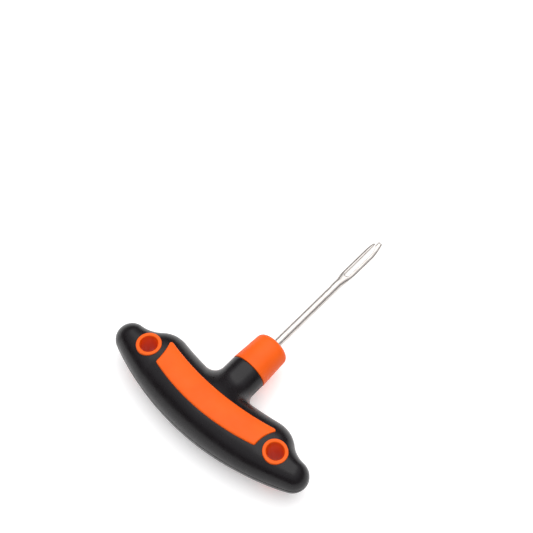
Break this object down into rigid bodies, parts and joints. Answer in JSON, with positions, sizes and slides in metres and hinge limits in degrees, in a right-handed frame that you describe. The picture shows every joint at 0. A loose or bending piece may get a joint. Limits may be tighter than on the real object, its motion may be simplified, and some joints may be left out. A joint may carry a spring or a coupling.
{
  "type": "tyre plug insertion tool",
  "caption": "T-handled needle with a split eye that pushes a repair cord through a punctured tyre; rounded two-tone handle with hanging eyelets and a nose collar.",
  "frame": {"origin": "centre of the bounding box's underside, with the tool lying on its back", "axes": "+X along the handle, +Y along the needle towards its tip, +Z out of the handle's front face"},
  "size_m": [0.12, 0.1392, 0.0312],
  "materials": {
    "grip": "satin moulded black",
    "core": "plain moulded nylon, hidden inside",
    "inlay": "satin orange with a fine moulded grain",
    "eyelet": "satin orange",
    "collar": "satin orange",
    "needle": "bright nickel plate",
    "pin": "plain drawn steel, hidden inside"
  },
  "bodies": {
    "root": {"grip_front_shell": "grip", "grip_rear_shell": "grip", "core_front_half": "core", "core_rear_half": "core", "inlay_front": "inlay", "inlay_rear": "inlay", "eyelet_left": "eyelet", "eyelet_right": "eyelet", "nose_collar": "collar", "needle": "needle", "cross_pin": "pin"}
  },
  "joints": []
}
